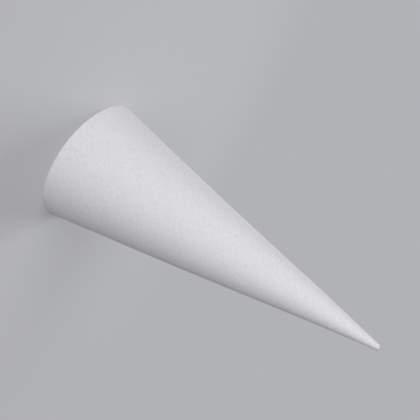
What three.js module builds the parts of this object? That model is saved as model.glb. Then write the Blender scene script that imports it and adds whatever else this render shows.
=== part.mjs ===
// A paper cone sleeve: one fan-shaped sheet of stiff white paper, rolled once round on itself
// and glued along the seam where it overlaps. It stands on its open mouth, with the blunt tip up.
// Millimetres, +Z up, origin at the centre of the mouth.
import * as THREE from "three";

// Driving dimensions.
const mouthDiameter = 65; // across the outside of the open mouth, as the mean of all directions
const mouthOutOfRound = 3.25; // how much less than that it measures the narrow way, and more the wide way
const narrowDirection = 45; // degrees from +X, the way across that the soft mouth is pressed narrow
const tipDiameter = 2.6; // across the outside of the blunt tip
const sideLength = 167; // along the side, from the rim to the tip
const paperThickness = 0.4; // one layer of the sheet
const overlapAtMouth = 14; // how far the sheet runs over itself, measured round the rim
const seamDirection = 90; // degrees from +X, where the middle of the overlap faces
const paperColour = 0xdcdbdf; // cool off-white

// How finely the curved sheet is faceted.
const facetsPerTurn = 96;
const stepsAlongSide = 8;

// Sizes that follow from the driving dimensions.
const fullTurn = 2 * Math.PI;
const mouthRadius = mouthDiameter / 2;
const tipRadius = tipDiameter / 2;
const halfAngle = Math.asin((mouthRadius - tipRadius) / sideLength);
const coneHeight = sideLength * Math.cos(halfAngle);
const wallAcross = paperThickness / Math.cos(halfAngle); // one layer, measured level
const overlapAngle = overlapAtMouth / mouthRadius;
const innerEdgeAngle = THREE.MathUtils.degToRad(seamDirection) - overlapAngle / 2;

// The mouth's oval outline: narrowest in narrowDirection and widest square to it.
function mouthOutlineRadius(angle) {
  const fromNarrowWay = angle - THREE.MathUtils.degToRad(narrowDirection);
  return mouthRadius - (mouthOutOfRound / 2) * Math.cos(2 * fromNarrowWay);
}

// The sheet winds outwards by one layer in each turn, so its outer end lies flat on its inner end.
// turned is the angle from the inner end, and the outside averages the mouth's outline.
function outsideRadius(turned) {
  const middleOfOutside = overlapAngle + fullTurn / 2;
  const windingOut = (wallAcross * (turned - middleOfOutside)) / fullTurn;
  return mouthOutlineRadius(innerEdgeAngle + turned) + windingOut;
}

function insideRadius(turned) {
  return outsideRadius(turned) - wallAcross;
}

// One full turn of a face of the sheet at the rim. Its two ends stand at the same angle, one
// layer apart, and the straight line that closes it is the cut edge of the sheet.
function turnOfSheet(startTurned, radiusAt) {
  const points = [];
  for (let i = 0; i <= facetsPerTurn; i += 1) {
    const turned = startTurned + (fullTurn * i) / facetsPerTurn;
    const radius = radiusAt(turned);
    const angle = innerEdgeAngle + turned;
    points.push(new THREE.Vector2(radius * Math.cos(angle), radius * Math.sin(angle)));
  }
  return points;
}

// The rim, seen along the axis: the outside turn starts where the overlap ends, because the first
// stretch of the sheet is covered there, and the hollow is bounded by the first turn alone.
function rimSection() {
  const section = new THREE.Shape(turnOfSheet(overlapAngle, outsideRadius));
  section.holes.push(new THREE.Path(turnOfSheet(0, insideRadius)));
  return section;
}

// Draws a straight tube of the rim's section in towards the axis, evenly with height, from the
// mouth's oval to the round tip. Every layer keeps its thickness, and the tube becomes the cone.
function taperToCone(tube) {
  const position = tube.getAttribute("position");
  const vertex = new THREE.Vector3();
  for (let i = 0; i < position.count; i += 1) {
    vertex.fromBufferAttribute(position, i);
    const radius = Math.hypot(vertex.x, vertex.y);
    const outline = mouthOutlineRadius(Math.atan2(vertex.y, vertex.x));
    const drawnIn = ((outline - tipRadius) * vertex.z) / coneHeight;
    const share = (radius - drawnIn) / radius;
    position.setXYZ(i, vertex.x * share, vertex.y * share, vertex.z);
  }
  tube.computeVertexNormals();
  return tube;
}

function paperCone() {
  const tube = new THREE.ExtrudeGeometry(rimSection(), {
    depth: coneHeight,
    steps: stepsAlongSide,
    bevelEnabled: false,
  });
  const paper = new THREE.MeshStandardMaterial({
    color: paperColour,
    roughness: 0.85,
    metalness: 0,
  });
  const mesh = new THREE.Mesh(taperToCone(tube), paper);
  mesh.name = "paper_cone";
  return mesh;
}

const coneSleeve = new THREE.Group();
coneSleeve.add(paperCone());

export default coneSleeve;
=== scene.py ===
# A plain white paper cone, rolled from one fan-shaped sheet and glued along its overlap.
# It stands on its open mouth on a pale studio floor. Metres, +Z up.
import math

import bpy
import numpy as np
from mathutils import Matrix, Vector


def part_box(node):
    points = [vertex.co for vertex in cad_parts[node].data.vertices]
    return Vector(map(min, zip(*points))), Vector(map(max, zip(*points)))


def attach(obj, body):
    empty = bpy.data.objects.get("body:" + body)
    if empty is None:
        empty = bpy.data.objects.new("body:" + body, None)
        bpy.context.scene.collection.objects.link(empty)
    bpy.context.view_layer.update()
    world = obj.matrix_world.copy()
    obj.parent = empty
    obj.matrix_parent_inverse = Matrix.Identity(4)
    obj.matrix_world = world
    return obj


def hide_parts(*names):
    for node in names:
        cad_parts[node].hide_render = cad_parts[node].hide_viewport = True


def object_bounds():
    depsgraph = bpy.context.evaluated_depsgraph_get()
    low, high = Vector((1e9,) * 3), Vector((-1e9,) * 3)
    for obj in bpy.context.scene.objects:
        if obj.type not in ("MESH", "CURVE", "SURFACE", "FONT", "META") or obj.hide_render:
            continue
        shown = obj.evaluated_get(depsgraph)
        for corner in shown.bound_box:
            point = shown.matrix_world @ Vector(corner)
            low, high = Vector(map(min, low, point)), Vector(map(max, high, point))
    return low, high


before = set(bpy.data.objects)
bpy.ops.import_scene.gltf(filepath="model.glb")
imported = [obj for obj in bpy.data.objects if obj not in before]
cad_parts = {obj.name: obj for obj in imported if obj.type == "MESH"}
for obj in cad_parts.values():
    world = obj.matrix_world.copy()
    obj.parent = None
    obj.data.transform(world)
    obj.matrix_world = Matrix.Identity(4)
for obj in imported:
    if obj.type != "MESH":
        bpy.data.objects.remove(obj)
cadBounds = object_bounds()
print("frame loaded:", sorted(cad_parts))

millimetre = 0.001
fullTurn = 2 * math.pi


# An sRGB hex value as linear RGBA: each channel c becomes ((c + 0.055) / 1.055) to the power 2.4.
def linearColour(hexColour):
    channels = [int(hexColour[i:i + 2], 16) / 255 for i in (0, 2, 4)]
    return tuple(((c + 0.055) / 1.055) ** 2.4 for c in channels) + (1.0,)


# Adds a node with its settings. Each input, by name or number, takes a value or another node's output.
def addNode(tree, kind, settings, inputs):
    node = tree.nodes.new(kind)
    for name, value in settings.items():
        setattr(node, name, value)
    for key, value in inputs.items():
        if isinstance(value, bpy.types.NodeSocket):
            tree.links.new(value, node.inputs[key])
        else:
            node.inputs[key].default_value = value
    return node


def newMaterial(name):
    material = bpy.data.materials.new(name)
    material.use_nodes = True
    material.node_tree.nodes.clear()
    return material


# The rolled sheet. Lengths in metres, angles in degrees from +X.
coneSheet = {
    "mouthDiameter": 64.96 * millimetre,  # mean of all directions, a hair inside the CAD's facets
    "mouthOutOfRound": 3.25 * millimetre,  # less than that the narrow way, more the wide way
    "narrowDirection": 45,
    "tipDiameter": 2.6 * millimetre,
    "layerPitch": 0.4 * millimetre,  # from one turn of the sheet to the next
    "thickness": 0.375 * millimetre,  # the rest of the pitch is the glue line
    "overlapAtMouth": 14 * millimetre,
    "seamDirection": 90,
    "waist": 0.06 * millimetre,  # how far the sides draw in at mid height
    "sway": 0.26 * millimetre,  # how far the rolled axis wanders sideways
    "swayPhase": 0.08,  # share of the height where the wander starts
    "tipLean": 0.3 * millimetre,  # how far the tight end leans to the -X side
    "tipLeanFrom": 0.62,  # share of the height where the lean starts
    "tipLeanTo": 0.92,  # and where it is full
    "cockle": 0.02 * millimetre,  # soft waves left in the paper by the damp glue
    "edgeLift": 0.1 * millimetre,  # how far a free cut edge springs off its neighbour
    "edgeLiftReach": 4 * millimetre,  # and how far back from the edge that starts
    "rimMismatch": 0.3 * millimetre,  # the outer corner of the sheet sits this much above the inner
    "rimMismatchReach": 1.2,  # radians back from the outer end where the rim starts to rise
    "tipSkew": 0.5 * millimetre,  # the tip is cut this much shorter on the -X side
    "edgeEasing": 0.05 * millimetre,  # how far the corners of a cut edge are eased back
    "sharpAngle": 30,  # edges that turn more than this stay crisp
    "columns": 330,  # faces round the sheet, from one end to the other
    "rows": 120,  # faces from the rim to the tip
}


# Soft waves: a few sines of the direction and the height, each with whole lobes round the cone,
# so that both layers of the overlap wave together. It runs from -1 to 0.
def cockleAt(direction, along):
    waves = [(2, 2.3, 0.4), (3, 1.4, 2.1), (5, 3.1, 4.0), (4, 5.2, 1.3)]  # lobes, turns per height, phase
    turn = fullTurn * along
    total = sum(np.sin(lobes * direction + turns * turn + phase) for lobes, turns, phase in waves)
    return total / (2 * len(waves)) - 0.5


# 0 up to start, 1 from end on, and a smooth 3x^2 - 2x^3 between them.
def smoothStep(start, end, value):
    x = np.clip((value - start) / (end - start), 0, 1)
    return x * x * (3 - 2 * x)


# The mouth's and the tip's radius, and the cone's half angle: the arctangent of how much the radius
# shrinks over the height.
def coneForm(sheet, height):
    mouthRadius = sheet["mouthDiameter"] / 2
    tipRadius = sheet["tipDiameter"] / 2
    return mouthRadius, tipRadius, math.atan((mouthRadius - tipRadius) / height)


# A point of the sheet. turned is the angle unrolled from the inner end, along runs 0 to 1 from the
# rim to the tip, and depth is 0 on the outer face and 1 on the inner. The radius is the mouth's oval
# drawn in evenly to the round tip, plus one layer's pitch for each turn, less the depth. The lifted
# edges and the soft waves are added to it, and the waist is taken off. The sway and the lean shift
# the point along X, and its height runs evenly from the rim to the skewed tip.
def sheetSurface(turned, along, depth, sheet, height):
    mouthRadius, tipRadius, halfAngle = coneForm(sheet, height)
    pitchAcross = sheet["layerPitch"] / math.cos(halfAngle)
    thicknessAcross = sheet["thickness"] / math.cos(halfAngle)
    overlap = sheet["overlapAtMouth"] / mouthRadius
    liftReach = sheet["edgeLiftReach"] / mouthRadius
    lastTurned = fullTurn + overlap

    direction = math.radians(sheet["seamDirection"]) - overlap / 2 + turned
    fromNarrow = direction - math.radians(sheet["narrowDirection"])
    mouthOutline = mouthRadius - sheet["mouthOutOfRound"] / 2 * np.cos(2 * fromNarrow)
    form = mouthOutline * (1 - along) + tipRadius * along
    winding = pitchAcross * (turned - overlap - math.pi) / fullTurn
    midHeight = np.sin(math.pi * along)  # 1 at mid height and 0 at both ends
    openness = 1 - along  # the tight tip holds its edges down
    # The outer end springs outwards, and the inner end inwards.
    lift = smoothStep(lastTurned - liftReach, lastTurned, turned) - smoothStep(liftReach, 0, turned)
    radius = form + winding - thicknessAcross * depth + sheet["edgeLift"] * lift * openness
    radius = radius + sheet["cockle"] * cockleAt(direction, along) * midHeight ** 0.5
    radius = radius - sheet["waist"] * midHeight

    swayed = sheet["sway"] * np.sin(fullTurn * (along - sheet["swayPhase"])) * midHeight
    swayed = swayed - sheet["tipLean"] * smoothStep(sheet["tipLeanFrom"], sheet["tipLeanTo"], along)
    riseFrom = lastTurned - sheet["rimMismatchReach"]
    bottom = sheet["rimMismatch"] * smoothStep(riseFrom, lastTurned, turned)
    top = height - sheet["tipSkew"] * (1 - np.cos(direction)) / 2
    return np.stack([
        radius * np.cos(direction) + swayed,
        radius * np.sin(direction),
        bottom + (top - bottom) * along,
    ], axis=-1)


# The same point in the flat sheet before rolling, in millimetres. Its reach from the fan's centre is
# the radius divided by the sine of the half angle, and the angle round the cone shrinks by that sine.
# The fan's middle line is +U.
def flatSheet(turned, along, sheet, height):
    mouthRadius, tipRadius, halfAngle = coneForm(sheet, height)
    reach = (mouthRadius * (1 - along) + tipRadius * along) / math.sin(halfAngle) / millimetre
    fanAngle = (turned - turned.mean()) * math.sin(halfAngle)
    return np.stack([reach * np.cos(fanAngle), reach * np.sin(fanAngle)], axis=-1)


# The sheet's section along its length is one closed profile: up the outer face, over the tip's cut,
# down the inner face and back under the rim's cut. It is carried round the cone in equal steps of
# the turned angle, and the first and last profiles are closed by quads as the free cut edges.
def buildSheet(sheet, low, high):
    height = high.z - low.z
    rows = sheet["rows"]
    columns = sheet["columns"]
    overlap = sheet["overlapAtMouth"] / (sheet["mouthDiameter"] / 2)
    upwards = np.linspace(0, 1, rows + 1)
    cutDepths = np.array([0.25, 0.75])  # two points across each cut, so that its corners are eased
    along = np.concatenate([upwards, [1, 1], upwards[::-1], [0, 0]])[:, None]
    depth = np.concatenate([0 * upwards, cutDepths, 0 * upwards + 1, cutDepths[::-1]])[:, None]
    turned = np.linspace(0, fullTurn + overlap, columns + 1)[None]
    points = sheetSurface(turned, along, depth, sheet, height)
    atRim = (along == 0) * 1.0
    atTip = (along == 1) * 1.0
    easing = sheet["edgeEasing"] * (1 - np.sin(math.pi * depth))  # the corners of a cut stand back
    points[..., 2] += low.z + easing * (atRim - atTip)
    flat = flatSheet(turned, along, sheet, height)

    profileSize = len(along)
    index = np.arange(profileSize * (columns + 1)).reshape(profileSize, columns + 1)
    nextUp = np.roll(index, -1, axis=0)
    skin = np.stack([index[:, :-1], index[:, 1:], nextUp[:, 1:], nextUp[:, :-1]], axis=-1)
    isCutRow = (depth != np.roll(depth, -1, axis=0))[:, 0]  # the faces that run across the sheet
    outer = np.arange(-1, rows + 2)  # from the rim's cut, up the outer face, to the tip's cut
    inner = profileSize - 3 - outer  # the point straight across the sheet
    edge = np.stack([outer[:-1], outer[1:], inner[1:], inner[:-1]], axis=-1)
    faces = np.concatenate([skin.reshape(-1, 4), index[edge, 0], index[edge, columns][:, ::-1]])
    isCut = np.concatenate([np.repeat(isCutRow, columns), np.ones(2 * len(edge), bool)])

    mesh = bpy.data.meshes.new("rolled_sheet")
    mesh.vertices.add(points.size // 3)
    mesh.vertices.foreach_set("co", points.reshape(-1).astype(np.float32))
    mesh.loops.add(faces.size)
    mesh.loops.foreach_set("vertex_index", faces.reshape(-1).astype(np.int32))
    mesh.polygons.add(len(faces))
    mesh.polygons.foreach_set("loop_start", np.arange(0, faces.size, 4, dtype=np.int32))
    mesh.polygons.foreach_set("material_index", isCut.astype(np.int32))
    mesh.polygons.foreach_set("use_smooth", np.ones(len(faces), bool))
    flatAtCorners = flat.reshape(-1, 2)[faces.reshape(-1)]
    flatMap = mesh.uv_layers.new(name="flatSheet")
    flatMap.uv.foreach_set("vector", flatAtCorners.reshape(-1).astype(np.float32))
    mesh.update(calc_edges=True)
    mesh.set_sharp_from_angle(angle=math.radians(sheet["sharpAngle"]))

    rolled = bpy.data.objects.new("rolled_sheet", mesh)
    bpy.context.scene.collection.objects.link(rolled)
    return rolled


# Bleached cartridge paper, felt-marked on the machine: dead matt, a cool off-white with fine ribs
# across the sheet, a painted highlight along their crests and painted shade in their hollows, and a faint
# cloud where fibres lie thicker.
paperLook = {
    "litCrestDenseFibre": "E3E2E6",  # painted highlight on the crests, and dense fibre
    "shadedHollowThinFibre": "D5D4D8",  # painted shade in the hollows between the ribs, and thin fibre
    "cut": "E3E2E4",  # the bare core at a cut edge
    "ribWidth": 0.55,  # mm across one rib
    "ribLength": 2.4,  # mm that one rib runs
    "ribHeight": 0.05,  # mm
    "ribWaver": 0.1,  # how much the ribs stray from straight
    "cloudSize": 7.0,  # mm, one light or dark cloud of fibre
    "cloudShare": 0.15,  # how much the clouds count beside the ribs
    "hollowToCrestRange": (0.3, 0.7),  # the part of the noise's 0 to 1 that goes from the shaded hollows to the lit crests
    "toothSize": 0.5,  # mm, coarser than the real 0.1 so that it still shows
    "toothHeight": 0.004,  # mm
    "fuzzHeight": 0.008,  # mm, the same tooth on a cut edge
    "roughness": 0.88,
    "cutRoughness": 0.95,
    "specular": 0.25,
}


# Patterns read the flat sheet's millimetres, so they stay straight in the sheet and bend with it.
def paperMaterial(look):
    material = newMaterial("bleachedPaper")
    tree = material.node_tree
    flat = addNode(tree, "ShaderNodeUVMap", {"uv_map": "flatSheet"}, {}).outputs["UV"]
    ribScale = (1 / look["ribWidth"], 1 / look["ribLength"], 1)
    ribPlace = addNode(tree, "ShaderNodeMapping", {}, {"Vector": flat, "Scale": ribScale})
    clouds = addNode(tree, "ShaderNodeTexNoise", {}, {
        "Vector": flat, "Scale": 1 / look["cloudSize"], "Detail": 3.0, "Roughness": 0.55})
    ribs = addNode(tree, "ShaderNodeTexNoise", {}, {
        "Vector": ribPlace.outputs["Vector"], "Scale": 1.0, "Detail": 2.0, "Roughness": 0.5,
        "Distortion": look["ribWaver"]})
    tooth = addNode(tree, "ShaderNodeTexNoise", {}, {
        "Vector": flat, "Scale": 1 / look["toothSize"], "Detail": 2.0, "Roughness": 0.6})
    # The rib noise that raises the bump also colours the paper: painted shade in the hollows and a
    # painted highlight on the crests. The clouds add fibre tone that differs at random.
    ribShadeAndFibre = addNode(tree, "ShaderNodeMix", {}, {
        "Factor": look["cloudShare"], "A": ribs.outputs["Fac"], "B": clouds.outputs["Fac"]})
    shadedHollowFrom, litCrestFrom = look["hollowToCrestRange"]
    shade = addNode(tree, "ShaderNodeMapRange", {}, {
        "Value": ribShadeAndFibre.outputs["Result"], "From Min": shadedHollowFrom, "From Max": litCrestFrom})
    colour = addNode(tree, "ShaderNodeMix", {"data_type": "RGBA"}, {
        "Factor": shade.outputs["Result"], 6: linearColour(look["shadedHollowThinFibre"]), 7: linearColour(look["litCrestDenseFibre"])})
    toothBump = addNode(tree, "ShaderNodeBump", {}, {
        "Height": tooth.outputs["Fac"], "Strength": 1.0, "Distance": look["toothHeight"] * millimetre})
    ribBump = addNode(tree, "ShaderNodeBump", {}, {
        "Height": ribs.outputs["Fac"], "Strength": 1.0, "Distance": look["ribHeight"] * millimetre,
        "Normal": toothBump.outputs["Normal"]})
    paper = addNode(tree, "ShaderNodeBsdfPrincipled", {}, {
        "Base Color": colour.outputs[2], "Roughness": look["roughness"],
        "Specular IOR Level": look["specular"], "Normal": ribBump.outputs["Normal"]})
    addNode(tree, "ShaderNodeOutputMaterial", {}, {"Surface": paper.outputs["BSDF"]})
    return material


# The cut edge of the same paper: the bare fibre core, a shade less blue and fuzzy from the blade.
def cutEdgeMaterial(look):
    material = newMaterial("cutPaperEdge")
    tree = material.node_tree
    place = addNode(tree, "ShaderNodeTexCoord", {}, {}).outputs["Object"]
    fuzz = addNode(tree, "ShaderNodeTexNoise", {}, {
        "Vector": place, "Scale": 1 / (look["toothSize"] * millimetre), "Detail": 2.0})
    # The fuzz's low places take the paper's hollow colour: painted shade in the fuzz.
    colour = addNode(tree, "ShaderNodeMix", {"data_type": "RGBA"}, {
        "Factor": fuzz.outputs["Fac"], 6: linearColour(look["shadedHollowThinFibre"]), 7: linearColour(look["cut"])})
    bump = addNode(tree, "ShaderNodeBump", {}, {
        "Height": fuzz.outputs["Fac"], "Strength": 1.0, "Distance": look["fuzzHeight"] * millimetre})
    core = addNode(tree, "ShaderNodeBsdfPrincipled", {}, {
        "Base Color": colour.outputs[2], "Roughness": look["cutRoughness"],
        "Specular IOR Level": look["specular"], "Normal": bump.outputs["Normal"]})
    addNode(tree, "ShaderNodeOutputMaterial", {}, {"Surface": core.outputs["BSDF"]})
    return material


rolledSheet = buildSheet(coneSheet, *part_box("paper_cone"))
rolledSheet.data.materials.append(paperMaterial(paperLook))
rolledSheet.data.materials.append(cutEdgeMaterial(paperLook))
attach(rolledSheet, "root")
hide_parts("paper_cone")
print("paper rolled:", len(rolledSheet.data.polygons), "faces")


# The camera looks along +Y, rolled so that the standing cone lies across the picture.
camera = {
    "lens": 48.0,  # mm
    "sensor": 36.0,  # mm wide
    "distance": 267.67 * millimetre,
    "elevation": 12.76,  # degrees above level
    "roll": 122.55,  # degrees about the line of sight
    "aimShare": 0.45,  # of the cone's height, on the axis
    "slideRight": -0.61 * millimetre,  # along the rolled picture's own sides
    "slideUp": 13.98 * millimetre,
    "nearest": 0.01,  # metres, the range that is drawn
    "farthest": 50.0,
}


# Right and up are turned by the roll about the line of sight, and the camera slides along them.
def placeCamera(settings, low, high):
    elevation = math.radians(settings["elevation"])
    roll = math.radians(settings["roll"])
    levelRight = Vector((1, 0, 0))
    levelUp = Vector((0, math.sin(elevation), math.cos(elevation)))
    back = levelRight.cross(levelUp)
    right = levelRight * math.cos(roll) + levelUp * math.sin(roll)
    up = levelUp * math.cos(roll) - levelRight * math.sin(roll)
    aim = Vector((0, 0, low.z + (high.z - low.z) * settings["aimShare"]))
    data = bpy.data.cameras.new("camera")
    data.lens = settings["lens"]
    data.sensor_width = settings["sensor"]
    data.clip_start = settings["nearest"]
    data.clip_end = settings["farthest"]
    viewer = bpy.data.objects.new("camera", data)
    bpy.context.scene.collection.objects.link(viewer)
    turn = Matrix((right, up, back)).transposed().to_4x4()
    place = aim + back * settings["distance"] + right * settings["slideRight"] + up * settings["slideUp"]
    viewer.matrix_world = Matrix.Translation(place) @ turn
    bpy.context.scene.camera = viewer


placeCamera(camera, *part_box("paper_cone"))
print("camera placed")


# A matt painted studio floor that fades with distance into a backdrop of the same pale grey.
studio = {
    "pale": "B1B2B6",  # what the camera sees of the backdrop
    "floorSeen": "C9CACD",  # the floor's paint as the camera sees it: lit, it is level with the backdrop
    "floorBounce": "ACADB0",  # the paint for light that bounces, darker to keep the far side shaded
    "footShare": 0.3,  # how much of the backdrop already shows in the floor at the cone's foot
    "fadeStart": 0.05,  # metres from the axis
    "fadeEnd": 0.3,
    "floorReach": 6.0,  # metres from the axis to each side of the floor
    "ambient": 0.2,
    "ambientColour": "FAF8FA",
}


# 1 for what the camera, a mirror or a glass sees directly, and 0 for light that only bounces.
def seenDirectly(tree):
    path = addNode(tree, "ShaderNodeLightPath", {}, {}).outputs
    reflected = addNode(tree, "ShaderNodeMath", {"operation": "MAXIMUM"}, {
        0: path["Is Glossy Ray"], 1: path["Is Transmission Ray"]})
    return addNode(tree, "ShaderNodeMath", {"operation": "MAXIMUM"}, {
        0: path["Is Camera Ray"], 1: reflected.outputs["Value"]}).outputs["Value"]


# Matt wall paint: no shine at all, so that only the cone's soft shadow marks the floor.
def floorPaint(settings):
    material = newMaterial("paintedFloor")
    tree = material.node_tree
    place = addNode(tree, "ShaderNodeTexCoord", {}, {}).outputs["Object"]
    distance = addNode(tree, "ShaderNodeVectorMath", {"operation": "LENGTH"}, {0: place})
    far = addNode(tree, "ShaderNodeMapRange", {"interpolation_type": "SMOOTHSTEP"}, {
        "Value": distance.outputs["Value"], "To Min": settings["footShare"],
        "From Min": settings["fadeStart"], "From Max": settings["fadeEnd"]})
    seen = seenDirectly(tree)
    glow = addNode(tree, "ShaderNodeMath", {"operation": "MULTIPLY"}, {0: far.outputs["Result"], 1: seen})
    tint = addNode(tree, "ShaderNodeMix", {"data_type": "RGBA"}, {
        "Factor": seen, 6: linearColour(settings["floorBounce"]), 7: linearColour(settings["floorSeen"])})
    paint = addNode(tree, "ShaderNodeBsdfDiffuse", {}, {"Color": tint.outputs[2]})
    backdrop = addNode(tree, "ShaderNodeEmission", {}, {
        "Color": linearColour(settings["pale"]), "Strength": 1.0})
    blend = addNode(tree, "ShaderNodeMixShader", {}, {
        0: glow.outputs["Value"], 1: paint.outputs["BSDF"], 2: backdrop.outputs["Emission"]})
    addNode(tree, "ShaderNodeOutputMaterial", {}, {"Surface": blend.outputs["Shader"]})
    return material


def paleFloor(settings):
    reach = settings["floorReach"]
    corners = [(-reach, -reach, 0), (reach, -reach, 0), (reach, reach, 0), (-reach, reach, 0)]
    mesh = bpy.data.meshes.new("floor")
    mesh.from_pydata(corners, [], [(0, 1, 2, 3)])
    mesh.materials.append(floorPaint(settings))
    floor = bpy.data.objects.new("floor", mesh)
    bpy.context.scene.collection.objects.link(floor)


def paleWorld(settings):
    world = bpy.data.worlds.new("studio")
    world.use_nodes = True
    tree = world.node_tree
    tree.nodes.clear()
    ambient = addNode(tree, "ShaderNodeBackground", {}, {
        "Color": linearColour(settings["ambientColour"]), "Strength": settings["ambient"]})
    backdrop = addNode(tree, "ShaderNodeBackground", {}, {
        "Color": linearColour(settings["pale"]), "Strength": 1.0})
    blend = addNode(tree, "ShaderNodeMixShader", {}, {
        0: seenDirectly(tree), 1: ambient.outputs["Background"], 2: backdrop.outputs["Background"]})
    addNode(tree, "ShaderNodeOutputWorld", {}, {"Surface": blend.outputs["Shader"]})
    bpy.context.scene.world = world


# Square softboxes that face the cone: degrees from +X and above level, then metres, then watts.
softboxes = {
    "key": {"direction": 248, "elevation": 9, "distance": 1.1, "side": 2.3, "watts": 32.0},
    "back": {"direction": 113, "elevation": 25, "distance": 0.9, "side": 0.4, "watts": 5.0},
}


def addSoftbox(name, settings, aim):
    direction = math.radians(settings["direction"])
    elevation = math.radians(settings["elevation"])
    level = math.cos(elevation)
    away = Vector((math.cos(direction) * level, math.sin(direction) * level, math.sin(elevation)))
    data = bpy.data.lights.new(name, "AREA")
    data.shape = "SQUARE"
    data.size = settings["side"]
    data.energy = settings["watts"]
    lamp = bpy.data.objects.new(name, data)
    bpy.context.scene.collection.objects.link(lamp)
    lamp.location = aim + away * settings["distance"]
    lamp.rotation_euler = away.to_track_quat("Z", "Y").to_euler()


paleFloor(studio)
paleWorld(studio)
middle = (cadBounds[0] + cadBounds[1]) / 2
for name, settings in softboxes.items():
    addSoftbox(name, settings, middle)
bpy.context.scene.view_settings.view_transform = "Standard"
print("studio lit")
